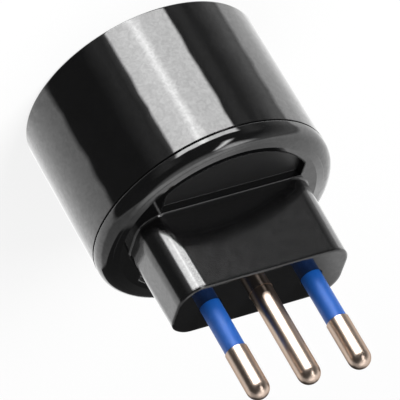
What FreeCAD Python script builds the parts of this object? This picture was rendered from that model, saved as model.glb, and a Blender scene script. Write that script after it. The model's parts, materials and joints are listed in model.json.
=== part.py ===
import FreeCAD, Part
import math
import os
import re
import Sketcher

# In-line plug adapter: an earthed round socket well at one end, three 4 mm pins in a row at the other.
# The origin is the centre of the socket mouth. +Z runs along the axis to the pin tips.
# The row of pins lies along X, and the earth clips of the socket stand at +Y and -Y.

driving_sizes = (
    # Outer shell
    ("mouth_wall", 1.9),
    ("shell_draft", 0.1),
    ("mouth_edge_round", 0.4),
    ("cap_height", 3.1),
    ("rim_round", 2.2),
    ("groove_width", 0.35),
    ("groove_depth", 0.35),
    # Socket well
    ("well_radius", 19.6),
    ("well_depth", 17.5),
    ("floor_thickness", 2.5),
    ("mouth_chamfer", 0.5),
    ("guide_rib_width", 4.6),
    ("guide_rib_reach", 2.3),
    ("guide_rib_start", 2.0),
    ("pole_pitch", 19.0),
    ("plug_hole_radius", 2.75),
    ("plug_hole_lead", 0.5),
    ("skirt_wall", 1.9),
    # Foot of the rear cap
    ("foot_thickness", 12.6),
    ("foot_height", 15.4),
    ("foot_corner", 4.4),
    ("foot_draft", 0.27),
    ("foot_edge_cut", 0.3),
    ("foot_root_flare", 0.25),
    ("foot_root_land", 0.1),
    ("cap_wall", 2.2),
    ("foot_wall", 1.9),
    ("end_wall", 2.2),
    ("chamber_rib", 1.5),
    ("chamber_reach", 4.55),
    ("earth_chamber_width", 7.0),
    ("spigot_depth", 1.8),
    ("spigot_wall", 1.4),
    # D-shaped recesses beside the foot
    ("recess_land", 2.4),
    ("recess_left_cut", 3.2),
    ("recess_right_cut", 1.8),
    ("recess_depth", 1.33),
    ("recess_corner", 1.2),
    # Pins and sleeves
    ("pin_radius", 2.0),
    ("pin_reach", 19.0),
    ("neck_radius", 2.17),
    ("neck_sink", 0.1),
    ("sleeve_radius", 1.83),
    ("sleeve_reach", 9.4),
    ("sleeve_root", 1.2),
    ("stem_radius", 1.5),
    ("collar_radius", 3.0),
    ("collar_height", 1.2),
    ("tail_radius", 1.25),
    ("rivet_radius", 1.9),
    ("rivet_height", 0.6),
    ("earth_shank_radius", 1.8),
    # Tube contacts and their steel clips
    ("contact_bore", 2.3),
    ("contact_wall", 0.7),
    ("contact_base", 1.6),
    ("contact_lead", 0.3),
    ("contact_setback", 0.3),
    ("slit_width", 0.8),
    ("slit_length", 9.5),
    ("clip_wall", 0.35),
    ("clip_height", 3.0),
    ("clip_gap", 1.4),
    ("clip_offset", 3.0),
    # Shutter, its spring and its cover
    ("shutter_height", 4.0),
    ("shutter_width", 9.6),
    ("shutter_gap", 0.2),
    ("shutter_overlap", 0.1),
    ("shutter_end_wall", 0.6),
    ("ramp_back_wall", 0.8),
    ("spring_seat_wall", 0.85),
    ("post_place", 2.4),
    ("post_thickness", 1.2),
    ("post_width", 3.2),
    ("rail_wall", 1.2),
    ("rail_setback", 2.3),
    ("stop_wall", 1.5),
    ("cover_thickness", 0.9),
    ("cover_setback", 0.9),
    ("carrier_thickness", 1.9),
    ("spring_wire_radius", 0.175),
    ("spring_coil_radius", 1.5),
    ("spring_turns", 6.0),
    # Earth strap and washer
    ("strap_thickness", 0.8),
    ("strap_width", 6.0),
    ("strap_bend", 1.2),
    ("leg_setback", 1.7),
    ("bow_rise", 2.6),
    ("bow_height", 7.5),
    ("bow_setback", 4.0),
    ("clip_tip_height", 2.6),
    ("clip_tip_setback", 0.6),
    ("washer_radius", 3.0),
    ("washer_thickness", 0.5),
    # Screws and their bosses
    ("screw_setback", 1.0),
    ("screw_angle", 53.8),
    ("screw_radius", 1.45),
    ("screw_head_radius", 2.7),
    ("screw_head_height", 1.5),
    ("screw_sink", 0.2),
    ("screw_tip", 1.4),
    ("cross_width", 0.7),
    ("cross_length", 3.2),
    ("cross_depth", 0.8),
    ("boss_wall", 1.35),
    ("boss_height", 2.4),
    # Small clearances
    ("slide_clearance", 0.15),
    ("fit_clearance", 0.1),
    ("close_clearance", 0.03),
)

# Levels and places that follow from the driving sizes
derived_sizes = {
    "mouth_radius": "well_radius + mouth_wall",
    "parting_radius": "mouth_radius + shell_draft",
    "floor_back": "well_depth + floor_thickness",
    "skirt_radius": "parting_radius - skirt_wall",
    "inner_level": "cover_back + carrier_thickness",
    "face_level": "inner_level + cap_wall",
    "parting_height": "face_level - cap_height",
    "foot_end": "face_level + foot_height",
    "chamber_end": "foot_end - end_wall",
    "collar_back": "chamber_end - collar_height",
    "contact_floor": "collar_back - contact_base",
    "tip_level": "foot_end + pin_reach",
    "sleeve_start": "foot_end - sleeve_root",
    "sleeve_end": "foot_end + sleeve_reach",
    "spigot_radius": "skirt_radius - fit_clearance",
    "spigot_bore": "spigot_radius - spigot_wall",
    "spigot_end": "parting_height - spigot_depth",
    "pole_place": "pole_pitch / 2",
    "half_foot": "foot_thickness / 2",
    "recess_chord": "half_foot + foot_root_flare + foot_root_land",
    "half_earth_chamber": "earth_chamber_width / 2",
    "half_chamber": "foot_thickness / 2 - foot_wall",
    "pole_chamber_in": "half_earth_chamber + chamber_rib",
    "pole_chamber_out": "pole_place + chamber_reach",
    "half_foot_width": "pole_chamber_out + foot_wall",
    "recess_radius": "parting_radius - rim_round - recess_land",
    "recess_reach": "sqrt(recess_radius ^ 2 - recess_chord ^ 2)",
    "recess_left": "recess_reach - recess_left_cut",
    "recess_right": "recess_reach - recess_right_cut",
    "contact_radius": "contact_bore + contact_wall",
    "shutter_front": "floor_back + shutter_gap",
    "shutter_back": "shutter_front + shutter_height",
    "shutter_middle": "shutter_front + shutter_height / 2",
    "cover_front": "shutter_back + shutter_gap",
    "cover_back": "cover_front + cover_thickness",
    "strap_back": "cover_back + strap_thickness",
    "washer_back": "strap_back + washer_thickness",
    "contact_mouth": "cover_back + contact_setback",
    "block_out": "pole_place + plug_hole_radius + shutter_overlap",
    "block_in": "pole_place - plug_hole_radius - shutter_overlap",
    "ramp_out": "pole_place + plug_hole_radius",
    "ramp_in": "pole_place - plug_hole_radius",
    "seat_place": "block_in - spring_seat_wall",
    "window_width": "2 * plug_hole_radius + fit_clearance",
    "rail_place": "shutter_width / 2 + slide_clearance",
    "stop_place": "block_out + slide_clearance",
    "rail_end": "skirt_radius - rail_setback",
    "cover_end": "rail_end - cover_setback",
    "leg_reach": "well_radius - leg_setback",
    "bow_reach": "leg_reach - bow_rise",
    "bow_start": "well_depth - bow_setback",
    "clip_tip_reach": "leg_reach - clip_tip_setback",
    "boss_radius": "screw_radius + boss_wall",
    "screw_circle": "spigot_bore - boss_radius - screw_setback",
    "screw_place_x": "screw_circle * cos(screw_angle * 1 deg)",
    "screw_place_y": "screw_circle * sin(screw_angle * 1 deg)",
    "boss_meet": "floor_back + boss_height",
    "head_front": "well_depth + screw_sink",
    "head_back": "head_front + screw_head_height",
    "screw_end": "inner_level - screw_sink",
    "carrier_radius": "spigot_bore - fit_clearance",
}

doc = FreeCAD.newDocument("plug_adapter")
sheet = doc.addObject("Spreadsheet::Sheet", "sizes")
for row, (name, number) in enumerate(driving_sizes, 1):
    sheet.set("A%d" % row, name)
    sheet.set("B%d" % row, str(number))
    sheet.setAlias("B%d" % row, name)
doc.recompute()
size_names = {name for name, number in driving_sizes}
nodes = {}


def bound(text):
    # The expression with every size's name turned into a reference to its cell.
    def cell(match):
        word = match.group(0)
        if word in derived_sizes:
            return "(" + bound(derived_sizes[word]) + ")"
        if word in size_names:
            return "sizes." + word
        return word
    return re.sub(r"[a-z][a-z_]*", cell, str(text))


def value(text):
    # The expression's number in millimetres.
    return float(sheet.evalExpression(bound(text)))


def new_body(label):
    body = doc.addObject("PartDesign::Body", label)
    body.Label = label
    nodes[label] = body
    return body


def new_sketch(body, role, level="0"):
    plane = [part for part in body.Origin.OriginFeatures if part.Role == role][0]
    sketch = body.newObject("Sketcher::SketchObject", body.Label + "_sketch")
    sketch.AttachmentSupport = [(plane, "")]
    sketch.MapMode = "FlatFace"
    sketch.setExpression(".AttachmentOffset.Base.z", bound(level))
    return sketch


def hold(sketch, kind, number, expression, *place):
    # A dimension from the sketch's origin, or a radius, that follows an expression.
    index = sketch.addConstraint(Sketcher.Constraint(kind, *place, number))
    sketch.renameConstraint(index, "size%d" % index)
    sketch.setExpression("Constraints.size%d" % index, bound(expression))


def hold_point(sketch, edge, end, across, up):
    hold(sketch, "DistanceX", value(across), across, -1, 1, edge, end)
    hold(sketch, "DistanceY", value(up), up, -1, 1, edge, end)


def add_outline(sketch, points):
    # A closed outline of straight edges. Each point is a pair of expressions.
    corners = [FreeCAD.Vector(value(across), value(up), 0) for across, up in points]
    first = sketch.GeometryCount
    count = len(corners)
    for index in range(count):
        sketch.addGeometry(Part.LineSegment(corners[index], corners[(index + 1) % count]))
    for index in range(count):
        following = first + (index + 1) % count
        sketch.addConstraint(Sketcher.Constraint("Coincident", first + index, 2, following, 1))
    for index, (across, up) in enumerate(points):
        hold_point(sketch, first + index, 1, across, up)


def round_corner(across, up, radius, first, last, runs):
    # An arc of a turned profile as a few straight runs, so that each ring is a cone with few facets.
    step = (last - first) / runs
    points = []
    for index in range(runs + 1):
        turn = first + index * step
        points.append((
            "%s + %s * cos(%g * 1 deg)" % (across, radius, turn),
            "%s + %s * sin(%g * 1 deg)" % (up, radius, turn)))
    return points


def add_box(sketch, left, right, low, high):
    add_outline(sketch, ((left, low), (right, low), (right, high), (left, high)))


def add_rounded_box(sketch, half_width, half_height, radius):
    # A rectangle about the origin with round corners. Lines and arcs follow each other anticlockwise.
    wide, high, corner = value(half_width), value(half_height), value(radius)
    for quarter, (side_x, side_y) in enumerate(((1, -1), (1, 1), (-1, 1), (-1, -1))):
        centre = FreeCAD.Vector(side_x * (wide - corner), side_y * (high - corner), 0)
        full = Part.Circle(centre, FreeCAD.Vector(0, 0, 1), corner)
        start = (quarter - 1) * math.pi / 2
        arc = sketch.addGeometry(Part.ArcOfCircle(full, start, start + math.pi / 2))
        hold(sketch, "Radius", corner, radius, arc)
        hold_point(
            sketch, arc, 3,
            "%d * (%s - %s)" % (side_x, half_width, radius),
            "%d * (%s - %s)" % (side_y, half_height, radius))
    for arc in range(4):
        following = (arc + 1) % 4
        ends = sketch.Geometry[arc].EndPoint, sketch.Geometry[following].StartPoint
        side = sketch.addGeometry(Part.LineSegment(*ends))
        sketch.addConstraint(Sketcher.Constraint("Tangent", arc, 2, side, 1))
        sketch.addConstraint(Sketcher.Constraint("Tangent", side, 2, following, 1))


def add_circle(sketch, radius, across="0", up="0"):
    centre = FreeCAD.Vector(value(across), value(up), 0)
    edge = sketch.addGeometry(Part.Circle(centre, FreeCAD.Vector(0, 0, 1), value(radius)))
    hold(sketch, "Radius", value(radius), radius, edge)
    hold_point(sketch, edge, 3, across, up)


def revolve(body, sketch):
    feature = body.newObject("PartDesign::Revolution", body.Label + "_turned")
    feature.Profile = sketch
    feature.ReferenceAxis = (sketch, ["V_Axis"])
    feature.Angle = 360
    doc.recompute()
    return feature


def pad(body, sketch, length, backwards=False, both_ways=False):
    feature = body.newObject("PartDesign::Pad", body.Label + "_pad")
    feature.Profile = sketch
    feature.setExpression("Length", bound(length))
    feature.Reversed = backwards
    feature.Midplane = both_ways
    doc.recompute()
    return feature


def pocket(body, sketch, length, forwards=False, both_ways=False):
    before = body.Tip.Shape.Volume
    feature = body.newObject("PartDesign::Pocket", body.Label + "_pocket")
    feature.Profile = sketch
    feature.setExpression("Length", bound(length))
    feature.Reversed = forwards
    feature.Midplane = both_ways
    doc.recompute()
    if feature.Shape.Volume >= before:
        raise RuntimeError(feature.Name + " cuts nothing")
    return feature


def dress(body, kind, measure, expression, wanted):
    # A fillet or chamfer on the edges for which wanted(edge) is true.
    tip = body.Tip
    edges = ["Edge%d" % index for index, edge in enumerate(tip.Shape.Edges, 1) if wanted(edge)]
    if not edges:
        raise RuntimeError(body.Label + " has no edge for its " + kind)
    feature = body.newObject("PartDesign::" + kind, body.Label + "_" + kind.lower())
    feature.Base = (tip, edges)
    feature.setExpression(measure, bound(expression))
    doc.recompute()
    return feature


def fillet(body, radius, wanted):
    return dress(body, "Fillet", "Radius", radius, wanted)


def chamfer(body, size, wanted):
    return dress(body, "Chamfer", "Size", size, wanted)


def near(one, other):
    return abs(one - other) < 1e-4


def is_ring(edge, radius, level):
    # A full circle about some axis along Z.
    curve = edge.Curve
    round_edge = isinstance(curve, Part.Circle) and edge.isClosed()
    return round_edge and near(curve.Radius, value(radius)) and near(curve.Center.z, value(level))


def is_upright(edge):
    # Nearly along Z. The foot's draft leans its corners a little.
    ends = edge.Vertexes
    if len(ends) != 2:
        return False
    rise = abs(ends[1].Z - ends[0].Z)
    return rise > 0.5 and rise > 0.95 * edge.Length


def opposite(text):
    return "-(" + text + ")"


def make_socket_body():
    body = new_body("socket_body")
    wall = new_sketch(body, "XZ_Plane")
    lip = round_corner(
        "(mouth_radius - mouth_edge_round)", "mouth_edge_round", "mouth_edge_round", -90, 0, 3)
    add_outline(wall, [("well_radius", "0")] + lip + [
        ("parting_radius", "parting_height"),
        ("skirt_radius", "parting_height"),
        ("skirt_radius", "floor_back"),
        ("0", "floor_back"),
        ("0", "well_depth"),
        ("well_radius", "well_depth"),
    ])
    revolve(body, wall)
    chamfer(body, "mouth_chamfer", lambda edge: is_ring(edge, "well_radius", "0"))

    # Two ribs at the ends of the pin row guide the plug.
    rib_face = "well_radius - guide_rib_reach"
    rib_root = "well_radius + skirt_wall / 2"
    for near_side, far_side in ((rib_face, rib_root), (opposite(rib_root), opposite(rib_face))):
        rib = new_sketch(body, "XY_Plane", "guide_rib_start")
        add_box(rib, near_side, far_side, "-guide_rib_width / 2", "guide_rib_width / 2")
        pad(body, rib, "floor_back - guide_rib_start - floor_thickness / 2")
    chamfer(body, "guide_rib_reach / 3", lambda edge: (
        near(edge.BoundBox.ZMin, value("guide_rib_start"))
        and near(edge.BoundBox.ZMax, value("guide_rib_start"))
        and near(edge.Length, value("guide_rib_width"))
        and near(abs(edge.BoundBox.Center.x), value(rib_face))))

    # Behind the floor: rails and a stop for the shutter, the spring's post and two screw bosses.
    rail_out = "rail_place + rail_wall"
    stop_out = "stop_place + stop_wall"
    for low, high in (("rail_place", rail_out), (opposite(rail_out), opposite("rail_place"))):
        rail = new_sketch(body, "XY_Plane", "well_depth + floor_thickness / 2")
        add_box(rail, opposite(stop_out), "rail_end", low, high)
        pad(body, rail, "cover_front - well_depth - floor_thickness / 2")
    stop = new_sketch(body, "XY_Plane", "well_depth + floor_thickness / 2")
    add_box(stop, opposite(stop_out), opposite("stop_place"), opposite(rail_out), rail_out)
    pad(body, stop, "cover_front - well_depth - floor_thickness / 2")
    post = new_sketch(body, "XY_Plane", "well_depth + floor_thickness / 2")
    add_box(post, "post_place", "post_place + post_thickness", "-post_width / 2", "post_width / 2")
    pad(body, post, "shutter_back - well_depth - floor_thickness / 2")
    bosses = new_sketch(body, "XY_Plane", "well_depth + floor_thickness / 2")
    add_circle(bosses, "boss_radius", "screw_place_x", "-screw_place_y")
    add_circle(bosses, "boss_radius", "-screw_place_x", "screw_place_y")
    pad(body, bosses, "boss_meet - well_depth - floor_thickness / 2")

    # Through the floor: two plug holes, two slots for the earth clips and two sunk screws.
    holes = new_sketch(body, "XY_Plane", "well_depth")
    add_circle(holes, "plug_hole_radius", "pole_place")
    add_circle(holes, "plug_hole_radius", "-pole_place")
    pocket(body, holes, "floor_thickness", forwards=True)
    chamfer(body, "plug_hole_lead", lambda edge: is_ring(edge, "plug_hole_radius", "well_depth"))
    slots = new_sketch(body, "XY_Plane", "well_depth")
    slot_in = "leg_reach - strap_thickness - slide_clearance"
    slot_out = "leg_reach + slide_clearance"
    half_slot = "strap_width / 2 + slide_clearance"
    for low, high in ((slot_in, slot_out), (opposite(slot_out), opposite(slot_in))):
        add_box(slots, opposite(half_slot), half_slot, low, high)
    pocket(body, slots, "floor_thickness", forwards=True)
    sinks = new_sketch(body, "XY_Plane", "well_depth")
    bores = new_sketch(body, "XY_Plane", "well_depth")
    for side in ("screw_place_x", "-screw_place_x"):
        up = opposite(side).replace("_x", "_y")
        add_circle(sinks, "screw_head_radius + fit_clearance", side, up)
        add_circle(bores, "screw_radius + fit_clearance", side, up)
    pocket(body, sinks, "head_back - well_depth", forwards=True)
    pocket(body, bores, "boss_meet - well_depth", forwards=True)
    return body


def make_rear_cap():
    body = new_body("rear_cap")
    disc = new_sketch(body, "XZ_Plane")
    groove_floor = "parting_radius - groove_depth"
    groove_end = "parting_height + groove_width"
    rim = round_corner("(parting_radius - rim_round)", "(face_level - rim_round)", "rim_round", 0, 90, 6)
    add_outline(disc, [
        ("spigot_bore", "spigot_end"),
        ("spigot_radius", "spigot_end"),
        ("spigot_radius", "parting_height"),
        (groove_floor, "parting_height"),
        (groove_floor, groove_end),
        ("parting_radius", groove_end),
    ] + rim + [
        ("0", "face_level"),
        ("0", "inner_level"),
        ("spigot_bore", "inner_level"),
    ])
    revolve(body, disc)

    # The foot flares at its root, narrows a little to its end face and has a small cut round that face.
    foot = body.newObject("PartDesign::AdditiveLoft", "foot")
    sections = []
    for level, half_width, grown in (
        ("face_level", "half_foot_width + foot_draft", "foot_root_flare"),
        ("face_level + foot_root_flare", "half_foot_width + foot_draft", "0"),
        ("foot_end - foot_edge_cut", "half_foot_width", "0"),
        ("foot_end", "half_foot_width", "-foot_edge_cut"),
    ):
        section = new_sketch(body, "XY_Plane", level)
        add_rounded_box(
            section, "(%s + %s)" % (half_width, grown),
            "(half_foot + %s)" % grown, "(foot_corner + %s)" % grown)
        sections.append(section)
    foot.Profile = sections[0]
    foot.Sections = sections[1:]
    foot.Ruled = True
    doc.recompute()
    body.Tip = foot

    # A D-shaped recess on each side of the foot, its chord close beside the foot's flared root.
    recess = new_sketch(body, "XY_Plane", "face_level")
    radius = value("recess_radius")
    low = value("recess_chord")
    left = -value("recess_left")
    right = value("recess_right")
    left_top = math.sqrt(radius ** 2 - left ** 2)
    right_top = math.sqrt(radius ** 2 - right ** 2)
    corners = [FreeCAD.Vector(*pair, 0) for pair in ((left, left_top), (left, low), (right, low), (right, right_top))]
    for start, end in zip(corners, corners[1:]):
        recess.addGeometry(Part.LineSegment(start, end))
    full = Part.Circle(FreeCAD.Vector(0, 0, 0), FreeCAD.Vector(0, 0, 1), radius)
    recess.addGeometry(Part.ArcOfCircle(full, math.atan2(right_top, right), math.atan2(left_top, left)))
    for first, end, second, start in ((0, 2, 1, 1), (1, 2, 2, 1), (2, 2, 3, 1), (3, 2, 0, 1)):
        recess.addConstraint(Sketcher.Constraint("Coincident", first, end, second, start))
    recess.addConstraint(Sketcher.Constraint("Coincident", 3, 3, -1, 1))
    recess.addConstraint(Sketcher.Constraint("Vertical", 0))
    recess.addConstraint(Sketcher.Constraint("Vertical", 2))
    hold(recess, "Radius", radius, "recess_radius", 3)
    hold_point(recess, 1, 1, "-recess_left", "recess_chord")
    hold_point(recess, 1, 2, "recess_right", "recess_chord")
    cut = pocket(body, recess, "recess_depth")
    mirror = body.newObject("PartDesign::Mirrored", "second_recess")
    mirror.Originals = [cut]
    mirror.MirrorPlane = ([part for part in body.Origin.OriginFeatures if part.Role == "XZ_Plane"][0], [""])
    body.Tip = mirror
    doc.recompute()
    floor_level = value("face_level - recess_depth")
    fillet(body, "recess_corner", lambda edge: (
        is_upright(edge)
        and near(edge.BoundBox.ZMin, floor_level)
        and near(edge.BoundBox.ZMax, value("face_level"))
        and abs(edge.BoundBox.Center.y) > value("recess_chord") + 0.5))

    # Bosses for the screws, then the chambers of the foot and the holes for the three pins.
    bosses = new_sketch(body, "XY_Plane", "inner_level + cap_wall / 4")
    pilots = new_sketch(body, "XY_Plane", "boss_meet")
    for side in ("screw_place_x", "-screw_place_x"):
        up = opposite(side).replace("_x", "_y")
        add_circle(bosses, "boss_radius", side, up)
        add_circle(pilots, "screw_radius + close_clearance", side, up)
    pad(body, bosses, "inner_level + cap_wall / 4 - boss_meet", backwards=True)
    pocket(body, pilots, "inner_level - boss_meet", forwards=True)
    chambers = new_sketch(body, "XY_Plane", "inner_level")
    half = "half_chamber"
    add_box(chambers, "pole_chamber_in", "pole_chamber_out", opposite(half), half)
    add_box(chambers, opposite("pole_chamber_out"), opposite("pole_chamber_in"), opposite(half), half)
    add_box(chambers, opposite("half_earth_chamber"), "half_earth_chamber", opposite(half), half)
    pocket(body, chambers, "chamber_end - inner_level", forwards=True)
    fillet(body, "foot_corner - foot_wall", lambda edge: (
        is_upright(edge)
        and near(edge.BoundBox.ZMin, value("inner_level"))
        and near(abs(edge.BoundBox.Center.x), value("pole_chamber_out"))))
    holes = new_sketch(body, "XY_Plane", "chamber_end")
    for place in ("pole_place", "-pole_place"):
        add_circle(holes, "pin_radius + close_clearance", place)
    add_circle(holes, "neck_radius + close_clearance")
    pocket(body, holes, "end_wall", forwards=True)
    return body


def make_contact_carrier():
    # An insulating disc that steadies the contacts, holds the strap and closes the shutter's chamber.
    body = new_body("contact_carrier")
    disc = new_sketch(body, "XY_Plane", "cover_back")
    add_circle(disc, "carrier_radius")
    for place in ("pole_place", "-pole_place"):
        add_circle(disc, "contact_radius + close_clearance", place)
    add_circle(disc, "earth_shank_radius + fit_clearance")
    for side in ("screw_place_x", "-screw_place_x"):
        add_circle(disc, "boss_radius + fit_clearance", side, opposite(side).replace("_x", "_y"))
    pad(body, disc, "inner_level - cover_back")
    groove = new_sketch(body, "XY_Plane", "cover_back")
    half_groove = "strap_width / 2 + fit_clearance"
    add_box(groove, opposite(half_groove), half_groove, "-carrier_radius - 1", "carrier_radius + 1")
    pocket(body, groove, "strap_thickness", forwards=True)
    seat = new_sketch(body, "XY_Plane", "cover_back")
    add_circle(seat, "washer_radius + fit_clearance")
    pocket(body, seat, "washer_back - cover_back", forwards=True)
    return body


def make_shutter_cover():
    body = new_body("shutter_cover")
    plate = new_sketch(body, "XY_Plane", "cover_front")
    half = "rail_place + rail_wall"
    add_box(plate, opposite("stop_place + stop_wall"), "cover_end", opposite(half), half)
    for place in ("pole_place", "-pole_place"):
        add_circle(plate, "plug_hole_radius", place)
    add_circle(plate, "rivet_radius + 4 * fit_clearance")
    pad(body, plate, "cover_thickness")
    return body


def make_shutter():
    # A slider whose two ramps cover the plug holes. Two pins together push it along +X.
    body = new_body("shutter")
    block = new_sketch(body, "XY_Plane", "shutter_front")
    half = "shutter_width / 2"
    add_box(block, opposite("block_out"), "block_out + shutter_end_wall", opposite(half), half)
    pad(body, block, "shutter_height")
    window = new_sketch(body, "XY_Plane", "shutter_front")
    add_box(window, opposite("seat_place"), "block_in", "-window_width / 2", "window_width / 2")
    pocket(body, window, "shutter_height", forwards=True)
    ramp_top = "shutter_back - ramp_back_wall"
    below = "shutter_front - 1"
    left_ramp = new_sketch(body, "XZ_Plane")
    add_outline(left_ramp, (
        (opposite("block_out + 1"), below),
        (opposite("ramp_in"), below),
        (opposite("ramp_in"), "shutter_front"),
        (opposite("block_out"), ramp_top),
        (opposite("block_out + 1"), ramp_top),
    ))
    pocket(body, left_ramp, "window_width", both_ways=True)
    right_ramp = new_sketch(body, "XZ_Plane")
    add_outline(right_ramp, (
        ("block_in - 1", below),
        ("ramp_out", below),
        ("ramp_out", "shutter_front"),
        ("block_in", ramp_top),
        ("block_in - 1", ramp_top),
    ))
    pocket(body, right_ramp, "window_width", both_ways=True)
    return body


def make_spring():
    # Compression spring between the shutter's seat and the fixed post, its axis along X.
    start = -value("seat_place")
    length = value("post_place") - start
    wire = value("spring_wire_radius")
    coil = value("spring_coil_radius")
    height = length - 2 * wire
    helix = Part.makeHelix(height / value("spring_turns"), height, coil)
    # The wire is six-sided, as a round one would take most of the model's facets.
    corners = []
    for index in range(7):
        turn = math.pi * (index + 0.5) / 3
        corners.append(FreeCAD.Vector(coil + wire * math.cos(turn), 0, wire * math.sin(turn)))
    path = Part.Wire(helix.Edges)
    feature = doc.addObject("Part::Feature", "shutter_spring")
    feature.Label = "shutter_spring"
    feature.Shape = path.makePipeShell([Part.makePolygon(corners)], True, True)
    along_x = FreeCAD.Rotation(FreeCAD.Vector(0, 0, 1), FreeCAD.Vector(1, 0, 0))
    feature.Placement = FreeCAD.Placement(FreeCAD.Vector(start + wire, 0, value("shutter_middle")), along_x)
    nodes["shutter_spring"] = feature


def strip_outline(points, bends, thickness):
    # The section of a folded strip: straight runs along points, each corner rounded at its bend radius.
    sides = []
    for sign in (1, -1):
        shifted = []
        for start, end in zip(points, points[1:]):
            run = (end - start).normalize()
            across = FreeCAD.Vector(-run.y, run.x, 0) * (sign * thickness / 2)
            shifted.append((start + across, end + across, run))
        edge = [shifted[0][0]]
        for (_, first_end, first_run), (second_start, _, second_run) in zip(shifted, shifted[1:]):
            spread = first_run.x * second_run.y - first_run.y * second_run.x
            gap = second_start - first_end
            reach = (gap.x * second_run.y - gap.y * second_run.x) / spread
            edge.append(first_end + first_run * reach)
        edge.append(shifted[-1][1])
        sides.append(edge)
    outline = []
    for sign, edge in zip((1, -1), sides):
        pieces = []
        place = edge[0]
        for index in range(1, len(edge) - 1):
            before = (edge[index - 1] - edge[index]).normalize()
            after = (edge[index + 1] - edge[index]).normalize()
            half_angle = before.getAngle(after) / 2
            turn = -before.x * after.y + before.y * after.x
            inside = (turn > 0) == (sign > 0)
            radius = bends[index - 1] + (-thickness / 2 if inside else thickness / 2)
            trim = radius / math.tan(half_angle)
            first = edge[index] + before * trim
            last = edge[index] + after * trim
            middle_way = (before + after).normalize()
            middle = edge[index] + middle_way * (radius / math.sin(half_angle) - radius)
            pieces.append(Part.LineSegment(place, first).toShape())
            pieces.append(Part.Arc(first, middle, last).toShape())
            place = last
        pieces.append(Part.LineSegment(place, edge[-1]).toShape())
        outline.extend(pieces)
    outline.append(Part.LineSegment(sides[0][0], sides[1][0]).toShape())
    outline.append(Part.LineSegment(sides[0][-1], sides[1][-1]).toShape())
    return Part.Face(Part.Wire(Part.__sortEdges__(outline)))


def make_earth_strap():
    # One brass strip: a bridge behind the well's floor and a bowed spring clip at each end.
    half = value("strap_thickness / 2")
    bridge = value("cover_back") + half
    leg = value("leg_reach") - half
    bow = value("bow_reach") + half
    side = (
        (leg, bridge),
        (leg, value("bow_start")),
        (bow, value("bow_height")),
        (value("clip_tip_reach"), value("clip_tip_height")),
    )
    points = [FreeCAD.Vector(-across, up, 0) for across, up in reversed(side)]
    points += [FreeCAD.Vector(across, up, 0) for across, up in side]
    bend = value("strap_bend")
    bends = (2 * bend, 3 * bend, bend, bend, 3 * bend, 2 * bend)
    face = strip_outline(points, bends, value("strap_thickness"))
    width = value("strap_width")
    strip = face.extrude(FreeCAD.Vector(0, 0, width))
    strip.translate(FreeCAD.Vector(0, 0, -width / 2))
    upright = FreeCAD.Rotation(FreeCAD.Vector(0, 1, 0), FreeCAD.Vector(0, 0, 1), FreeCAD.Vector(1, 0, 0), "ZXY")
    strip.Placement = FreeCAD.Placement(FreeCAD.Vector(0, 0, 0), upright).multiply(strip.Placement)
    hole = Part.makeCylinder(
        value("tail_radius + close_clearance"), 4 * half, FreeCAD.Vector(0, 0, bridge - 2 * half))
    feature = doc.addObject("Part::Feature", "earth_strap")
    feature.Label = "earth_strap"
    feature.Shape = strip.cut(hole)
    nodes["earth_strap"] = feature


def add_turned_profile(sketch, points, tip):
    # A turned pin's half section: a round tip of the first point's radius, then straight edges.
    radius, shoulder = points[0]
    outline = [("0", tip)] + list(points)
    corners = [FreeCAD.Vector(value(across), value(up), 0) for across, up in outline]
    centre = FreeCAD.Vector(0, value(shoulder), 0)
    full = Part.Circle(centre, FreeCAD.Vector(0, 0, 1), value(radius))
    sketch.addGeometry(Part.ArcOfCircle(full, 0, math.pi / 2))
    count = len(corners)
    for index in range(1, count):
        sketch.addGeometry(Part.LineSegment(corners[index], corners[(index + 1) % count]))
    sketch.addConstraint(Sketcher.Constraint("Coincident", 0, 1, 1, 1))
    for index in range(1, count - 1):
        sketch.addConstraint(Sketcher.Constraint("Coincident", index, 2, index + 1, 1))
    sketch.addConstraint(Sketcher.Constraint("Coincident", count - 1, 2, 0, 2))
    sketch.addConstraint(Sketcher.Constraint("PointOnObject", 0, 3, -2))
    hold_point(sketch, 0, 2, "0", tip)
    for index, (across, up) in enumerate(points, 1):
        hold_point(sketch, index, 1, across, up)


def make_earth_pin():
    body = new_body("earth_pin")
    profile = new_sketch(body, "XZ_Plane")
    add_turned_profile(profile, (
        ("pin_radius", "tip_level - pin_radius"),
        ("pin_radius", "foot_end - neck_sink"),
        ("neck_radius", "foot_end - neck_sink"),
        ("neck_radius", "chamber_end"),
        ("collar_radius", "chamber_end"),
        ("collar_radius", "collar_back"),
        ("earth_shank_radius", "collar_back"),
        ("earth_shank_radius", "washer_back"),
        ("tail_radius", "washer_back"),
        ("tail_radius", "cover_back"),
        ("rivet_radius", "cover_back"),
        ("rivet_radius", "cover_back - rivet_height"),
        ("0", "cover_back - rivet_height"),
    ), "tip_level")
    revolve(body, profile)


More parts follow.
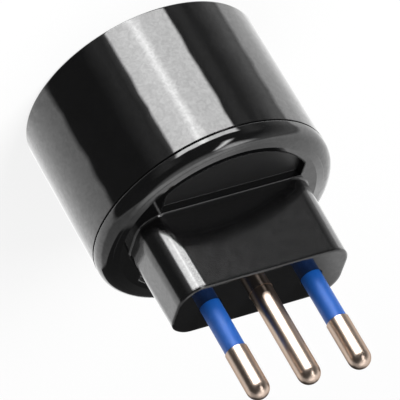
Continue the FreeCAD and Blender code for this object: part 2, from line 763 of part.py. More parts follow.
def make_pole(name, place):
    # A sleeved pin, its sleeve, the split tube contact on its tail and the contact's steel clip.
    pin = new_body(name + "_pin")
    profile = new_sketch(pin, "XZ_Plane")
    add_turned_profile(profile, (
        ("pin_radius", "tip_level - pin_radius"),
        ("pin_radius", "sleeve_end"),
        ("stem_radius", "sleeve_end"),
        ("stem_radius", "sleeve_start"),
        ("pin_radius", "sleeve_start"),
        ("pin_radius", "chamber_end"),
        ("collar_radius", "chamber_end"),
        ("collar_radius", "collar_back"),
        ("tail_radius", "collar_back"),
        ("tail_radius", "contact_floor"),
        ("rivet_radius", "contact_floor"),
        ("rivet_radius", "contact_floor - rivet_height"),
        ("0", "contact_floor - rivet_height"),
    ), "tip_level")
    revolve(pin, profile)

    sleeve = new_body(name + "_sleeve")
    ring = new_sketch(sleeve, "XY_Plane", "sleeve_start")
    add_circle(ring, "sleeve_radius")
    add_circle(ring, "stem_radius")
    pad(sleeve, ring, "sleeve_end - sleeve_start")

    contact = new_body(name + "_contact")
    tube = new_sketch(contact, "XZ_Plane")
    tail_hole = "tail_radius + close_clearance"
    add_outline(tube, (
        ("contact_bore", "contact_mouth"),
        ("contact_radius", "contact_mouth"),
        ("contact_radius", "collar_back"),
        (tail_hole, "collar_back"),
        (tail_hole, "contact_floor"),
        ("contact_bore", "contact_floor"),
    ))
    revolve(contact, tube)
    chamfer(contact, "contact_lead", lambda edge: is_ring(edge, "contact_bore", "contact_mouth"))
    slits = new_sketch(contact, "XY_Plane", "contact_mouth")
    half = "slit_width / 2"
    reach = "contact_radius + 1"
    add_outline(slits, (
        (half, half), (reach, half), (reach, opposite(half)), (half, opposite(half)),
        (half, opposite(reach)), (opposite(half), opposite(reach)),
        (opposite(half), opposite(half)), (opposite(reach), opposite(half)),
        (opposite(reach), half), (opposite(half), half), (opposite(half), reach), (half, reach),
    ))
    pocket(contact, slits, "slit_length", forwards=True)

    clip = new_body(name + "_contact_clip")
    band = new_sketch(clip, "XY_Plane", "contact_mouth + clip_offset")
    clip_bore = "contact_radius + close_clearance"
    add_circle(band, clip_bore)
    add_circle(band, "contact_radius + close_clearance + clip_wall")
    pad(clip, band, "clip_height")
    gap = new_sketch(clip, "XY_Plane", "contact_mouth + clip_offset")
    add_box(gap, "-clip_gap / 2", "clip_gap / 2", "0", "contact_radius + clip_wall + 1")
    pocket(clip, gap, "clip_height", forwards=True)
    for body in (pin, sleeve, contact, clip):
        body.setExpression(".Placement.Base.x", bound(place))


def make_earth_washer():
    body = new_body("earth_washer")
    ring = new_sketch(body, "XY_Plane", "strap_back")
    add_circle(ring, "washer_radius")
    add_circle(ring, "tail_radius + close_clearance")
    pad(body, ring, "washer_thickness")


def make_screw(label, across, up):
    # A self-tapping screw with a cross recess, its head sunk in the well's floor.
    body = new_body(label)
    profile = new_sketch(body, "XZ_Plane")
    add_outline(profile, (
        ("0", "head_front"),
        ("screw_head_radius", "head_front"),
        ("screw_head_radius", "head_back"),
        ("screw_radius", "head_back"),
        ("screw_radius", "screw_end - screw_tip"),
        ("screw_radius / 3", "screw_end"),
        ("0", "screw_end"),
    ))
    revolve(body, profile)
    chamfer(body, "screw_head_height / 3", lambda edge: is_ring(edge, "screw_head_radius", "head_front"))
    cross = new_sketch(body, "XY_Plane", "head_front")
    narrow = "cross_width / 2"
    wide = "cross_length / 2"
    add_outline(cross, (
        (narrow, narrow), (wide, narrow), (wide, opposite(narrow)), (narrow, opposite(narrow)),
        (narrow, opposite(wide)), (opposite(narrow), opposite(wide)),
        (opposite(narrow), opposite(narrow)), (opposite(wide), opposite(narrow)),
        (opposite(wide), narrow), (opposite(narrow), narrow), (opposite(narrow), wide), (narrow, wide),
    ))
    pocket(body, cross, "cross_depth", forwards=True)
    body.setExpression(".Placement.Base.x", bound(across))
    body.setExpression(".Placement.Base.y", bound(up))


def write_parts():
    for part in doc.Objects:
        if "Invalid" in part.State or "Error" in part.State:
            raise RuntimeError(part.Label + " failed")
    for label, part in nodes.items():
        shape = part.Shape
        if shape.isNull() or not shape.isValid() or not shape.Solids:
            raise RuntimeError(label + " has no sound solid")
    os.makedirs("parts", exist_ok=True)
    for label, part in nodes.items():
        shape = part.Shape
        shape.exportStep("parts/" + label + ".step")
        box = shape.BoundBox
        print("%-22s %d solid %9.2f mm3  z %6.2f to %6.2f" % (
            label, len(shape.Solids), shape.Volume, box.ZMin, box.ZMax))


make_socket_body()
make_rear_cap()
make_contact_carrier()
make_shutter_cover()
make_shutter()
make_spring()
make_earth_strap()
make_earth_washer()
make_earth_pin()
make_pole("live", "pole_place")
make_pole("neutral", "-pole_place")
make_screw("screw_front", "screw_place_x", "-screw_place_y")
make_screw("screw_rear", "-screw_place_x", "screw_place_y")
doc.recompute()
write_parts()
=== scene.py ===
import json
import math
import bpy
from mathutils import Matrix, Vector

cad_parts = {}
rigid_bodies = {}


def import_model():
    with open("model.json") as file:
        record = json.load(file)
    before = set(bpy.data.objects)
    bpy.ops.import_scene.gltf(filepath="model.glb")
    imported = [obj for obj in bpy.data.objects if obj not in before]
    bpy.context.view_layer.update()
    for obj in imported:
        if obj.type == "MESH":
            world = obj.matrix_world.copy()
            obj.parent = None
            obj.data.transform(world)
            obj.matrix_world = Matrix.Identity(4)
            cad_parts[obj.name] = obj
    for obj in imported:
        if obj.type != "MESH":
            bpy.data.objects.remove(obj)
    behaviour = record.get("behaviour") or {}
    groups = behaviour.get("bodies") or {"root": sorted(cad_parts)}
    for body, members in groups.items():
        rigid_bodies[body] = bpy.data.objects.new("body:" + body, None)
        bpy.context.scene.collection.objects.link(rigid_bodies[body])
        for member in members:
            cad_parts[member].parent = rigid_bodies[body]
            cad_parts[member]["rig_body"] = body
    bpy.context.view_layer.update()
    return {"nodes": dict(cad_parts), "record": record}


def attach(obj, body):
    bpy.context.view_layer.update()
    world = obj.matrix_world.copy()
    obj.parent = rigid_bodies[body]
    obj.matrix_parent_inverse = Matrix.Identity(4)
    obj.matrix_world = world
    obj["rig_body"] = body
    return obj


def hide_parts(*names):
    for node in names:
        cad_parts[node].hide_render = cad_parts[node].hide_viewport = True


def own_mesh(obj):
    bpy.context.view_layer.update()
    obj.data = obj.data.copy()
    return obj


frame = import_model()
nodes = frame["nodes"]
print("frame loaded:", len(nodes), "nodes")

mm = 0.001
degree = math.pi / 180


# Camera

cameraSettings = {
    "place": (-0.297190, 0.532679, 0.357020),
    "right": (0.87202, 0.20816, 0.44301),
    "up": (0.24032, 0.60640, -0.75798),
    "lens": 378.0,
    "sensor": 36.0,
    "near": 0.05,
    "far": 20,
}


def addCamera(settings):
    lens = bpy.data.cameras.new("photoCamera")
    lens.lens = settings["lens"]
    lens.sensor_width = settings["sensor"]
    lens.clip_start = settings["near"]
    lens.clip_end = settings["far"]
    camera = bpy.data.objects.new("photoCamera", lens)
    right = Vector(settings["right"]).normalized()
    up = Vector(settings["up"])
    up = (up - up.dot(right) * right).normalized()
    turned = Matrix((right, up, right.cross(up))).transposed().to_4x4()
    camera.matrix_world = Matrix.Translation(settings["place"]) @ turned
    bpy.context.scene.collection.objects.link(camera)
    bpy.context.scene.camera = camera


addCamera(cameraSettings)
print("camera placed")


# Small helpers

def selectOnly(piece):
    bpy.ops.object.select_all(action="DESELECT")
    piece.select_set(True)
    bpy.context.view_layer.objects.active = piece


def addNode(tree, kind, links=(), **values):
    # values name either a property of the node or, with spaces as underscores, one of its inputs
    node = tree.nodes.new(kind)
    for name, value in values.items():
        if hasattr(node, name):
            setattr(node, name, value)
        else:
            node.inputs[name.replace("_", " ")].default_value = value
    for socket, source in links:
        tree.links.new(source, node.inputs[socket])
    return node


def addMath(tree, operation, *inputs, clamp=False):
    node = tree.nodes.new("ShaderNodeMath")
    node.operation = operation
    node.use_clamp = clamp
    for index, value in enumerate(inputs):
        if isinstance(value, (int, float)):
            node.inputs[index].default_value = value
        else:
            tree.links.new(value, node.inputs[index])
    return node.outputs[0]


def newGroup(name, inputs, outputs):
    group = bpy.data.node_groups.new(name, "ShaderNodeTree")
    for socket, kind, value in inputs:
        made = group.interface.new_socket(name=socket, in_out="INPUT", socket_type=kind)
        if value is not None:
            made.default_value = value
    for socket, kind in outputs:
        group.interface.new_socket(name=socket, in_out="OUTPUT", socket_type=kind)
    start = group.nodes.new("NodeGroupInput")
    end = group.nodes.new("NodeGroupOutput")
    return group, start.outputs, end.inputs


def placeGroup(tree, group, links=(), **values):
    node = tree.nodes.new("ShaderNodeGroup")
    node.node_tree = group
    for name, value in values.items():
        node.inputs[name.replace("_", " ")].default_value = value
    for socket, source in links:
        tree.links.new(source, node.inputs[socket])
    return node


# Studio: a pale floor, two lamps and the white cards and dark room that glossy surfaces mirror

studioSettings = {
    "floorSize": 3.0,
    "floorColor": (0.9, 0.9, 0.9, 1),
    "floorPlace": (0, 0, -0.05 * mm),
    "floorLift": 0.82,        # how much of its own light the floor shows the camera
    "ambient": 0.40,
    "roomLevel": 0.10,
}

lampSettings = {
    # places in degrees and metres
    "key": {
        "azimuth": 72, "elevation": 45, "distance": 0.65, "size": 0.3, "energy": 4.0, "mirrored": False},
    "fill": {
        "azimuth": 250, "elevation": 35, "distance": 0.8, "size": 0.8, "energy": 1.8, "mirrored": False},
}

cardSettings = {
    # places and soft edges in degrees; a level below nought dims what lies behind
    "whiteSweep": {
        "centre": 283, "half": 84, "soft": 3.0, "low": -90, "high": 90, "softRise": 5, "level": 1.45},
    "sweepFold": {
        "centre": 300, "half": 9, "soft": 20, "low": -90, "high": 90, "softRise": 5, "level": -0.40},
    "sweepShade": {
        "centre": 248, "half": 47, "soft": 4, "low": 8, "high": 62, "softRise": 6, "level": -0.80},
    "sideGlow": {
        "centre": 15, "half": 8, "soft": 22, "low": -90, "high": 90, "softRise": 5, "level": 1.05},
    "backGlow": {
        "centre": 134, "half": 10, "soft": 8, "low": -90, "high": 20, "softRise": 5, "level": 0.26},
    "softbox": {
        "centre": 94, "half": 29, "soft": 1.5, "low": -75, "high": -17, "softRise": 2, "level": 10.0},
    "softboxGlow": {
        "centre": 105, "half": 13, "soft": 12, "low": -70, "high": -17, "softRise": 2, "level": 2.0},
    "softboxTube": {
        "centre": 97, "half": 2.5, "soft": 3.5, "low": -70, "high": -17, "softRise": 2, "level": 7.5},
    "slimLight": {
        "centre": 76, "half": 4, "soft": 3, "low": 24, "high": 60, "softRise": 4, "level": 12.0},
    "highCard": {
        "centre": 45, "half": 20, "soft": 8, "low": 54, "high": 70, "softRise": 4, "level": 5.0},
    "lowGlow": {
        "centre": 54, "half": 8, "soft": 6, "low": -60, "high": 10, "softRise": 8, "level": 0.28},
    "ceiling": {
        "centre": 0, "half": 181, "soft": 1.0, "low": 66, "high": 95, "softRise": 6, "level": 1.3},
}


def makeCardGroup():
    group, given, result = newGroup("lightCard", (
        ("Azimuth", "NodeSocketFloat", None),
        ("Elevation", "NodeSocketFloat", None),
        ("Centre", "NodeSocketFloat", 0.0),
        ("Half width", "NodeSocketFloat", 0.5),
        ("Soft side", "NodeSocketFloat", 0.05),
        ("Low", "NodeSocketFloat", -1.0),
        ("High", "NodeSocketFloat", 1.0),
        ("Soft end", "NodeSocketFloat", 0.05),
        ("Level", "NodeSocketFloat", 1.0),
    ), (("Light", "NodeSocketFloat"),))

    def edge(distance, soft):
        # one inside, nought outside and a straight slope between
        ratio = addMath(group, "DIVIDE", distance, soft)
        return addMath(group, "MULTIPLY_ADD", ratio, 0.5, 0.5, clamp=True)

    turned = addMath(group, "SUBTRACT", given["Azimuth"], given["Centre"])
    wrapped = addMath(group, "WRAP", turned, math.pi, -math.pi)
    sideways = addMath(group, "SUBTRACT", given["Half width"], addMath(group, "ABSOLUTE", wrapped))
    above = addMath(group, "SUBTRACT", given["Elevation"], given["Low"])
    below = addMath(group, "SUBTRACT", given["High"], given["Elevation"])
    side = edge(sideways, given["Soft side"])
    mask = addMath(group, "MULTIPLY", side, edge(above, given["Soft end"]))
    mask = addMath(group, "MULTIPLY", mask, edge(below, given["Soft end"]))
    group.links.new(addMath(group, "MULTIPLY", mask, given["Level"]), result["Light"])
    return group


def makeWorld(settings, cards):
    world = bpy.data.worlds.new("studio")
    bpy.context.scene.world = world
    world.use_nodes = True
    tree = world.node_tree
    tree.nodes.clear()
    direction = addNode(tree, "ShaderNodeTexCoord").outputs["Generated"]
    parts = addNode(tree, "ShaderNodeSeparateXYZ", [("Vector", direction)]).outputs
    azimuth = addMath(tree, "ARCTAN2", parts["Y"], parts["X"])
    elevation = addMath(tree, "ARCSINE", parts["Z"])
    cardGroup = makeCardGroup()
    mirrored = settings["roomLevel"]
    for card in cards.values():
        placed = placeGroup(
            tree, cardGroup, [("Azimuth", azimuth), ("Elevation", elevation)],
            Centre=card["centre"] * degree, Half_width=card["half"] * degree,
            Soft_side=card["soft"] * degree, Low=card["low"] * degree, High=card["high"] * degree,
            Soft_end=card["softRise"] * degree, Level=card["level"])
        mirrored = addMath(tree, "ADD", placed.outputs["Light"], mirrored)
    path = addNode(tree, "ShaderNodeLightPath").outputs
    difference = addMath(tree, "SUBTRACT", mirrored, settings["ambient"])
    level = addMath(tree, "MULTIPLY_ADD", path["Is Glossy Ray"], difference, settings["ambient"])
    toWhite = addMath(tree, "SUBTRACT", 1.0, level)
    level = addMath(tree, "MULTIPLY_ADD", path["Is Camera Ray"], toWhite, level)
    background = addNode(tree, "ShaderNodeBackground", [("Strength", level)], Color=(1, 1, 1, 1))
    addNode(tree, "ShaderNodeOutputWorld", [("Surface", background.outputs[0])])


def makeFloor(settings):
    bpy.ops.object.select_all(action="DESELECT")
    bpy.ops.mesh.primitive_plane_add(size=settings["floorSize"], location=settings["floorPlace"])
    floor = bpy.context.object
    floor.name = "floor"
    material = bpy.data.materials.new("paleFloor")
    material.use_nodes = True
    tree = material.node_tree
    tree.nodes.clear()
    path = addNode(tree, "ShaderNodeLightPath").outputs
    matt = addNode(tree, "ShaderNodeBsdfDiffuse", Color=settings["floorColor"])
    glow = addNode(tree, "ShaderNodeEmission", Color=(1, 1, 1, 1))
    clear = addNode(tree, "ShaderNodeBsdfTransparent")
    share = addMath(tree, "MULTIPLY", path["Is Camera Ray"], settings["floorLift"])
    lifted = addNode(tree, "ShaderNodeMixShader", [(0, share), (1, matt.outputs[0]), (2, glow.outputs[0])])
    shown = addNode(tree, "ShaderNodeMixShader", [
        (0, path["Is Glossy Ray"]), (1, lifted.outputs[0]), (2, clear.outputs[0])])
    addNode(tree, "ShaderNodeOutputMaterial", [("Surface", shown.outputs[0])])
    floor.data.materials.append(material)


flagSettings = {
    # a black flag beyond the pins that the foot's end face and the cap's left side mirror: painted shade, a
    # dark sheet seen only in glossy reflections where the object's shadow would lie
    "way": (0.42642, -0.76743, 0.47876),
    "distance": 55 * mm,
    "from": (-3.2 * mm, 0, 44.8 * mm),
    "left": -72 * mm,
    "right": 18 * mm,
    "bottom": -75 * mm,
    "top": 22 * mm,
    "soft": 7 * mm,
    "clothColor": (0.07, 0.07, 0.07, 1),
}


def makeFlag(settings):
    way = Vector(settings["way"]).normalized()
    bpy.ops.object.select_all(action="DESELECT")
    bpy.ops.mesh.primitive_plane_add(size=1)
    flag = bpy.context.object
    flag.name = "flag"
    across = Vector((1, 0, 0))
    across = (across - across.dot(way) * way).normalized()
    upwards = way.cross(across)
    turned = Matrix((across, upwards, way)).transposed().to_4x4()
    middle = Vector(settings["from"]) + way * settings["distance"]
    middle += across * (settings["left"] + settings["right"]) / 2
    middle += upwards * (settings["bottom"] + settings["top"]) / 2
    width = settings["right"] - settings["left"]
    height = settings["top"] - settings["bottom"]
    flag.matrix_world = Matrix.Translation(middle) @ turned @ Matrix.Diagonal((width, height, 1, 1))
    material = bpy.data.materials.new("flagCloth")
    material.use_nodes = True
    tree = material.node_tree
    tree.nodes.clear()
    # painted shade: the flag's dark emission, which only glossy rays see
    paintedShade = addNode(tree, "ShaderNodeEmission", Color=settings["clothColor"])
    clear = addNode(tree, "ShaderNodeBsdfTransparent")
    place = addNode(tree, "ShaderNodeTexCoord").outputs["Object"]
    parts = addNode(tree, "ShaderNodeSeparateXYZ", [("Vector", place)]).outputs
    shown = 1.0
    for part, length in ((parts["X"], width), (parts["Y"], height)):
        inside = addMath(tree, "SUBTRACT", 0.5, addMath(tree, "ABSOLUTE", part))
        faded = addMath(tree, "MULTIPLY", inside, length / settings["soft"], clamp=True)
        shown = addMath(tree, "MULTIPLY", faded, shown)
    soft = addNode(tree, "ShaderNodeMixShader", [(0, shown), (1, clear.outputs[0]), (2, paintedShade.outputs[0])])
    addNode(tree, "ShaderNodeOutputMaterial", [("Surface", soft.outputs[0])])
    flag.data.materials.append(material)
    # hidden from camera, diffuse, transmission, shadow and volume rays, so the painted shade shows only in
    # reflections
    for rays in ("camera", "diffuse", "transmission", "shadow", "volume_scatter"):
        setattr(flag, "visible_" + rays, False)


def addLamp(name, settings):
    light = bpy.data.lights.new(name, "AREA")
    light.size = settings["size"]
    light.energy = settings["energy"]
    lamp = bpy.data.objects.new(name, light)
    turn = settings["azimuth"] * degree
    rise = settings["elevation"] * degree
    way = Vector((math.cos(turn) * math.cos(rise), math.sin(turn) * math.cos(rise), math.sin(rise)))
    lamp.location = way * settings["distance"]
    lamp.rotation_euler = way.to_track_quat("Z", "Y").to_euler()
    lamp.visible_glossy = settings["mirrored"]
    bpy.context.scene.collection.objects.link(lamp)


bpy.context.scene.view_settings.view_transform = "Standard"
makeWorld(studioSettings, cardSettings)
makeFloor(studioSettings)
makeFlag(flagSettings)
for lampName, settings in lampSettings.items():
    addLamp(lampName, settings)
print("studio lit")


# Materials

skinSettings = {
    "waveDetail": 2.0,
    "grainDetail": 3.0,
    "hazeDetail": 4.0,
    "hazeSwirl": 1.4,
    "hazeContrast": 3.2,
    "hazeShift": -1.1,
}


def makeSkinGroup(settings):
    # a moulded skin: broad sink waves and a fine spark-eroded grain, as one height in millimetres
    group, given, result = newGroup("mouldedSkin", (
        ("Vector", "NodeSocketVector", None),
        ("Wave size", "NodeSocketFloat", 3.0),
        ("Wave depth", "NodeSocketFloat", 0.0),
        ("Grain size", "NodeSocketFloat", 0.1),
        ("Grain depth", "NodeSocketFloat", 0.0),
        ("Haze size", "NodeSocketFloat", 0.9),
    ), (("Height", "NodeSocketFloat"), ("Mottle", "NodeSocketFloat"), ("Haze", "NodeSocketFloat")))
    perMetre = 1 / mm

    def noise(size, depth, detail):
        scale = addMath(group, "DIVIDE", perMetre, size)
        made = addNode(
            group, "ShaderNodeTexNoise", [("Vector", given["Vector"]), ("Scale", scale)], Detail=detail)
        return addMath(group, "MULTIPLY", made.outputs["Fac"], depth), made.outputs["Fac"]

    waves, mottle = noise(given["Wave size"], given["Wave depth"], settings["waveDetail"])
    grain = noise(given["Grain size"], given["Grain depth"], settings["grainDetail"])[0]
    group.links.new(addMath(group, "ADD", waves, grain), result["Height"])
    group.links.new(mottle, result["Mottle"])
    hazeScale = addMath(group, "DIVIDE", perMetre, given["Haze size"])
    swirls = addNode(
        group, "ShaderNodeTexNoise", [("Vector", given["Vector"]), ("Scale", hazeScale)],
        Detail=settings["hazeDetail"], Distortion=settings["hazeSwirl"]).outputs["Fac"]
    haze = addMath(
        group, "MULTIPLY_ADD", swirls, settings["hazeContrast"], settings["hazeShift"], clamp=True)
    group.links.new(haze, result["Haze"])
    return group


def makeDomeGroup():
    # the cap's land falls away towards its rim, as a height in millimetres by distance from the axis
    group, given, result = newGroup("domedRim", (
        ("Vector", "NodeSocketVector", None),
        ("Start", "NodeSocketFloat", 0.0),
        ("Width", "NodeSocketFloat", 0.0),
        ("Slope", "NodeSocketFloat", 0.0),
    ), (("Height", "NodeSocketFloat"),))
    flat = addNode(group, "ShaderNodeVectorMath", [(0, given["Vector"])], operation="MULTIPLY")
    flat.inputs[1].default_value = (1, 1, 0)
    length = addNode(group, "ShaderNodeVectorMath", [(0, flat.outputs[0])], operation="LENGTH")
    reach = length.outputs["Value"]
    past = addMath(group, "MAXIMUM", addMath(group, "SUBTRACT", reach, given["Start"]), 0.0)
    past = addMath(group, "MINIMUM", past, given["Width"])
    drop = addMath(group, "MULTIPLY", past, given["Slope"])
    group.links.new(addMath(group, "MULTIPLY", drop, -1.0), result["Height"])
    return group


drawnSettings = {"lineDetail": 3.0}


def makeLinesGroup(settings):
    # fine lines left along a turned or drawn part
    group, given, result = newGroup("drawnLines", (
        ("Vector", "NodeSocketVector", None),
        ("Stretch", "NodeSocketVector", (1.0, 1.0, 0.05)),
        ("Size", "NodeSocketFloat", 0.2),
    ), (("Lines", "NodeSocketFloat"),))
    stretched = addNode(
        group, "ShaderNodeVectorMath", [(0, given["Vector"]), (1, given["Stretch"])],
        operation="MULTIPLY").outputs[0]
    scale = addMath(group, "DIVIDE", 1 / mm, given["Size"])
    lines = addNode(
        group, "ShaderNodeTexNoise", [("Vector", stretched), ("Scale", scale)],
        Detail=settings["lineDetail"])
    group.links.new(lines.outputs["Fac"], result["Lines"])
    return group


mouldedSkin = makeSkinGroup(skinSettings)
drawnLines = makeLinesGroup(drawnSettings)
domedRim = makeDomeGroup()

capDome = {
    "start": 18.1 * mm,
    "width": 1.32 * mm,
    "slope": 0.38,
}

capEdges = {
    "recessFrom": 7.1 * mm,
    "recessBelow": 29.6 * mm,
    "recessAbove": 27.9 * mm,
    "recessRound": 0.55 * mm,
    "endFrom": 44.0 * mm,
    "endAside": 4.5 * mm,
    "endAlong": 14.2 * mm,
    "endRound": 0.70 * mm,
    "holeRound": 0.03 * mm,
}

plasticSettings = {
    # wave, grain and haze in millimetres
    "blackPlastic": {
        "edgeRound": 0.16 * mm,
        "dark": (0.0020, 0.0020, 0.0021), "light": (0.0036, 0.0036, 0.0038), "smooth": 0.035, "dull": 0.085,
        "waveSize": 3.5, "waveDepth": 0.0006, "grainSize": 0.35, "grainDepth": 0.0008,
        "coat": (0.0, 0.24), "hazeSize": 0.9,
    },
    "blackCap": {
        "edgeRound": 0.16 * mm, "dome": capDome, "edges": capEdges,
        "dark": (0.0020, 0.0020, 0.0021), "light": (0.0036, 0.0036, 0.0038), "smooth": 0.035, "dull": 0.085,
        "waveSize": 3.5, "waveDepth": 0.0006, "grainSize": 0.35, "grainDepth": 0.0004,
        "coat": (0.0, 0.20), "hazeSize": 0.9,
    },
    "blackFoot": {
        "edgeRound": 0.16 * mm, "edges": capEdges,
        "dark": (0.0020, 0.0020, 0.0021), "light": (0.0036, 0.0036, 0.0038), "smooth": 0.13, "dull": 0.18,
        "waveSize": 3.5, "waveDepth": 0.0006, "grainSize": 0.30, "grainDepth": 0.0020,
        "coat": (0.30, 0.60), "hazeSize": 0.6,
    },
    "blackGrained": {
        "edgeRound": 0.16 * mm, "edges": capEdges,
        "dark": (0.0030, 0.0030, 0.0031), "light": (0.0062, 0.0062, 0.0064), "smooth": 0.07, "dull": 0.14,
        "waveSize": 1.5, "waveDepth": 0.0020, "grainSize": 0.30, "grainDepth": 0.0060,
        "coat": (0.0, 0.90), "hazeSize": 0.30,
    },
    "blackMatt": {
        "edgeRound": 0.16 * mm, "edges": capEdges,
        "dark": (0.0060, 0.0060, 0.0061), "light": (0.0105, 0.0105, 0.0107), "smooth": 0.36, "dull": 0.48,
        "waveSize": 1.2, "waveDepth": 0.0020, "grainSize": 0.25, "grainDepth": 0.0030,
    },
    "bluePlastic": {
        "edgeRound": 0.12 * mm,
        "dark": (0.003, 0.070, 0.320), "light": (0.008, 0.095, 0.400), "smooth": 0.44, "dull": 0.58,
        "waveSize": 1.0, "waveDepth": 0.0040, "grainSize": 0.25, "grainDepth": 0.0020,
    },
    "palePlastic": {
        "edgeRound": 0.12 * mm,
        "dark": (0.60, 0.58, 0.53), "light": (0.70, 0.68, 0.63), "smooth": 0.38, "dull": 0.50,
        "waveSize": 3.0, "waveDepth": 0.0020, "grainSize": 0.25, "grainDepth": 0.0015,
    },
    "carrierPlastic": {
        "edgeRound": 0.12 * mm,
        "dark": (0.070, 0.070, 0.075), "light": (0.095, 0.095, 0.100), "smooth": 0.42, "dull": 0.55,
        "waveSize": 3.0, "waveDepth": 0.0020, "grainSize": 0.25, "grainDepth": 0.0020,
    },
}

metalSettings = {
    # size and depth of the drawn lines in millimetres
    "nickel": {
        "edgeRound": 0.02 * mm,
        "dark": (0.34, 0.265, 0.215), "light": (0.45, 0.365, 0.31), "smooth": 0.29, "dull": 0.31,
        "edge": (0.55, 0.46, 0.40), "stretch": (1, 1, 0.06), "size": 0.18, "depth": 0.0001,
    },
    "brass": {
        "edgeRound": 0.08 * mm,
        "dark": (0.58, 0.40, 0.15), "light": (0.74, 0.54, 0.24), "smooth": 0.18, "dull": 0.34,
        "edge": (0.90, 0.80, 0.60), "stretch": (1, 1, 0.08), "size": 0.25, "depth": 0.0010,
    },
    "steel": {
        "edgeRound": 0.08 * mm,
        "dark": (0.42, 0.42, 0.42), "light": (0.58, 0.58, 0.57), "smooth": 0.20, "dull": 0.34,
        "edge": (0.80, 0.80, 0.80), "stretch": (1, 1, 0.30), "size": 0.20, "depth": 0.0010,
    },
}


def capEdgeRound(tree, place, base, settings):
    # how far each edge of the cap is rounded: widely round the recesses, hardly at the pins' holes
    parts = addNode(tree, "ShaderNodeSeparateXYZ", [("Vector", place)]).outputs
    aside = addMath(tree, "ABSOLUTE", parts["Y"])
    along = addMath(tree, "ABSOLUTE", parts["X"])
    beside = addMath(tree, "GREATER_THAN", aside, settings["recessFrom"])
    below = addMath(tree, "LESS_THAN", parts["Z"], settings["recessBelow"])
    above = addMath(tree, "GREATER_THAN", parts["Z"], settings["recessAbove"])
    recess = addMath(tree, "MULTIPLY", addMath(tree, "MULTIPLY", beside, below), above)
    radius = addMath(tree, "MULTIPLY_ADD", recess, settings["recessRound"] - base, base)
    farAside = addMath(tree, "GREATER_THAN", aside, settings["endAside"])
    farAlong = addMath(tree, "GREATER_THAN", along, settings["endAlong"])
    outer = addMath(tree, "MAXIMUM", farAside, farAlong)
    extra = settings["endRound"] - settings["holeRound"]
    endRadius = addMath(tree, "MULTIPLY_ADD", outer, extra, settings["holeRound"])
    end = addMath(tree, "GREATER_THAN", parts["Z"], settings["endFrom"])
    change = addMath(tree, "SUBTRACT", endRadius, radius)
    return addMath(tree, "MULTIPLY_ADD", end, change, radius)


bevelSamples = 8


def finishMaterial(material, settings, pattern, height, metallic, haze=None):
    tree = material.node_tree
    shader = tree.nodes["Principled BSDF"]
    if "coat" in settings:
        thin, thick = settings["coat"]
        coat = addMath(tree, "MULTIPLY_ADD", haze, thick - thin, thin)
        tree.links.new(coat, shader.inputs["Coat Weight"])
        shader.inputs["Coat Roughness"].default_value = settings["smooth"]
    shader.inputs["Metallic"].default_value = metallic
    colour = addNode(tree, "ShaderNodeMix", [("Factor", pattern)], data_type="RGBA")
    colour.inputs[6].default_value = (*settings["dark"], 1)     # the node's first colour
    colour.inputs[7].default_value = (*settings["light"], 1)    # and its second
    tree.links.new(colour.outputs[2], shader.inputs["Base Color"])
    span = settings["dull"] - settings["smooth"]
    roughness = addMath(tree, "MULTIPLY_ADD", pattern, span, settings["smooth"])
    tree.links.new(roughness, shader.inputs["Roughness"])
    softened = addNode(tree, "ShaderNodeBevel", Radius=settings["edgeRound"], samples=bevelSamples)
    if "edges" in settings:
        place = addNode(tree, "ShaderNodeTexCoord").outputs["Object"]
        radius = capEdgeRound(tree, place, settings["edgeRound"], settings["edges"])
        tree.links.new(radius, softened.inputs["Radius"])
    bump = addNode(
        tree, "ShaderNodeBump", [("Height", height), ("Normal", softened.outputs["Normal"])],
        Distance=mm, Strength=1.0)
    tree.links.new(bump.outputs["Normal"], shader.inputs["Normal"])


def makePlastic(name, settings):
    material = bpy.data.materials.new(name)
    material.use_nodes = True
    tree = material.node_tree
    place = addNode(tree, "ShaderNodeTexCoord").outputs["Object"]
    skin = placeGroup(
        tree, mouldedSkin, [("Vector", place)],
        Wave_size=settings["waveSize"], Wave_depth=settings["waveDepth"],
        Grain_size=settings["grainSize"], Grain_depth=settings["grainDepth"])
    if "hazeSize" in settings:
        skin.inputs["Haze size"].default_value = settings["hazeSize"]
    height = skin.outputs["Height"]
    if "dome" in settings:
        dome = settings["dome"]
        fall = placeGroup(
            tree, domedRim, [("Vector", place)],
            Start=dome["start"], Width=dome["width"], Slope=dome["slope"] / mm)
        height = addMath(tree, "ADD", height, fall.outputs["Height"])
    finishMaterial(material, settings, skin.outputs["Mottle"], height, 0.0, skin.outputs["Haze"])
    return material


def makeMetal(name, settings):
    material = bpy.data.materials.new(name)
    material.use_nodes = True
    tree = material.node_tree
    place = addNode(tree, "ShaderNodeTexCoord").outputs["Object"]
    lines = placeGroup(
        tree, drawnLines, [("Vector", place)], Stretch=settings["stretch"], Size=settings["size"])
    height = addMath(tree, "MULTIPLY", lines.outputs["Lines"], settings["depth"])
    finishMaterial(material, settings, lines.outputs["Lines"], height, 1.0)
    tree.nodes["Principled BSDF"].inputs["Specular Tint"].default_value = (*settings["edge"], 1)
    return material


materials = {name: makePlastic(name, settings) for name, settings in plasticSettings.items()}
materials.update({name: makeMetal(name, settings) for name, settings in metalSettings.items()})
print("materials mixed")


# Pieces

slotFinish = {
    "black_plastic": "blackPlastic",
    "blue_plastic": "bluePlastic",
    "nickel": "nickel",
    "brass": "brass",
    "steel": "steel",
    "pale_plastic": "palePlastic",
    "carrier_plastic": "carrierPlastic",
}


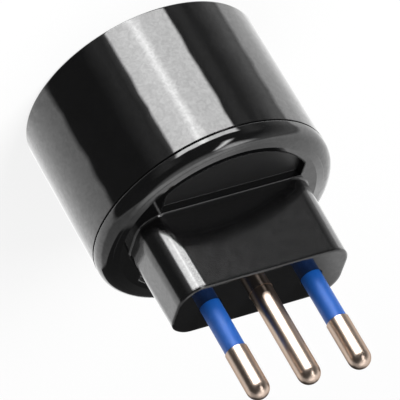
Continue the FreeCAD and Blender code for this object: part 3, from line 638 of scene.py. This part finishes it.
def flatAreas(mesh, tolerance):
    # for every face, the area of the flat patch that it belongs to
    patch = list(range(len(mesh.polygons)))

    def root(index):
        while patch[index] != index:
            patch[index] = patch[patch[index]]
            index = patch[index]
        return index

    facesOf = {}
    for face in mesh.polygons:
        for key in face.edge_keys:
            facesOf.setdefault(key, []).append(face.index)
    level = math.cos(tolerance)
    for shared in facesOf.values():
        for other in shared[1:]:
            if mesh.polygons[shared[0]].normal.dot(mesh.polygons[other].normal) > level:
                patch[root(other)] = root(shared[0])
    area = {}
    for face in mesh.polygons:
        area[root(face.index)] = area.get(root(face.index), 0) + face.area
    return [area[root(face.index)] for face in mesh.polygons]


def evenNormals(piece, settings):
    # flat faces stay flat, curved ones are shaded round, and edges past the angle stay crisp
    mesh = piece.data
    mesh.shade_smooth()
    areas = flatAreas(mesh, settings["flatAngle"])
    around = [[] for _ in mesh.vertices]
    for face in mesh.polygons:
        for vertex in face.vertices:
            around[vertex].append(face.index)
    level = math.cos(settings["sharpAngle"])
    normals = []
    for face in mesh.polygons:
        for vertex in face.vertices:
            total = Vector((0, 0, 0))
            for other in around[vertex]:
                normal = mesh.polygons[other].normal
                if normal.dot(face.normal) > level:
                    total += normal * areas[other]
            normals.append(total.normalized())
    mesh.normals_split_custom_set(normals)


copySettings = {
    "mergeWithin": 0.0005 * mm,
    "sharpAngle": 32 * degree,
    "flatAngle": 0.4 * degree,
}


def smoothCopy(nodeName, pieceName, body, settings):
    # the node's own form with its triangles joined and its curved faces shaded round
    source = nodes[nodeName]
    piece = bpy.data.objects.new(pieceName, source.data.copy())
    bpy.context.scene.collection.objects.link(piece)
    selectOnly(piece)
    bpy.ops.object.mode_set(mode="EDIT")
    bpy.ops.mesh.select_all(action="SELECT")
    bpy.ops.mesh.remove_doubles(threshold=settings["mergeWithin"])
    bpy.ops.object.mode_set(mode="OBJECT")
    evenNormals(piece, settings)
    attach(piece, body)
    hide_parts(nodeName)
    return piece


for row in frame["record"]["subparts"]:
    nodeName = row["node"]
    words = nodeName.split("_")
    pieceName = words[0] + "".join(word.capitalize() for word in words[1:])
    piece = smoothCopy(nodeName, pieceName, nodes[nodeName]["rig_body"], copySettings)
    piece.data.materials.clear()
    piece.data.materials.append(materials[slotFinish[row["material_slot"]]])
    print(pieceName, "finished in", slotFinish[row["material_slot"]])


def pressSpring(piece):
    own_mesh(piece)


pressSpring(bpy.data.objects["shutterSpring"])


rimSettings = {
    "start": 19.3 * mm,
    "low": 27.2 * mm,
    "tilt": 20.8 * degree,
    "keptTilt": 50 * degree,
    "flatNormal": 0.9999,
}


def domeRim(piece, settings):
    # the rim's rounding starts with the slope of the land and keeps its steep outer half
    mesh = piece.data
    normals = [Vector(corner.vector) for corner in mesh.corner_normals]
    for face in mesh.polygons:
        place = face.center
        reach = math.hypot(place.x, place.y)
        if reach < settings["start"] or place.z < settings["low"] or face.normal.z > settings["flatNormal"]:
            continue
        for corner in face.loop_indices:
            spot = mesh.vertices[mesh.loops[corner].vertex_index].co
            tilt = math.acos(max(-1, min(1, normals[corner].z)))
            if tilt < settings["keptTilt"]:
                share = tilt / settings["keptTilt"]
                tilt = settings["tilt"] + (settings["keptTilt"] - settings["tilt"]) * share
                across = Vector((spot.x, spot.y, 0)).normalized() * math.sin(tilt)
                normals[corner] = across + Vector((0, 0, math.cos(tilt)))
    mesh.normals_split_custom_set(normals)


capFinishes = ("blackCap", "blackMatt", "blackGrained", "blackFoot")

capSettings = {
    "recessFloor": 28.07 * mm,
    "recessTop": 29.35 * mm,
    "recessInner": 6.9 * mm,
    "recessEnd": 12.6 * mm,
    "recessArc": 17.4 * mm,
    "floorWithin": 0.1 * mm,
    "floorNormal": 0.99,
    "footStart": 29.45 * mm,
    "footHalfWidth": 16.6 * mm,
    "footHalfDepth": 6.4 * mm,
    "footUpright": 0.5,
    "footSide": 0.98,
}


def finishCap(piece, finishes, settings):
    # matt recess floors and end walls, finely grained flat sides of the foot, smoother rounded ones
    piece.data.materials.clear()
    for finish in finishes:
        piece.data.materials.append(materials[finish])
    for face in piece.data.polygons:
        place = face.center
        inRecess = settings["recessFloor"] < place.z < settings["recessTop"]
        inRecess = inRecess and math.hypot(place.x, place.y) < settings["recessArc"]
        atEnd = abs(place.y) > settings["recessInner"] and abs(place.x) > settings["recessEnd"]
        onFloor = abs(place.z - settings["recessFloor"]) < settings["floorWithin"]
        if inRecess and atEnd or onFloor and face.normal.z > settings["floorNormal"]:
            face.material_index = finishes.index("blackMatt")
        inFoot = abs(place.x) < settings["footHalfWidth"] and abs(place.y) < settings["footHalfDepth"]
        upright = abs(face.normal.z) < settings["footUpright"]
        if inFoot and upright and place.z > settings["footStart"]:
            flatSide = abs(face.normal.y) > settings["footSide"]
            face.material_index = finishes.index("blackGrained" if flatSide else "blackFoot")


domeRim(bpy.data.objects["rearCap"], rimSettings)
finishCap(bpy.data.objects["rearCap"], capFinishes, capSettings)
print("cap given its matt and grained faces")
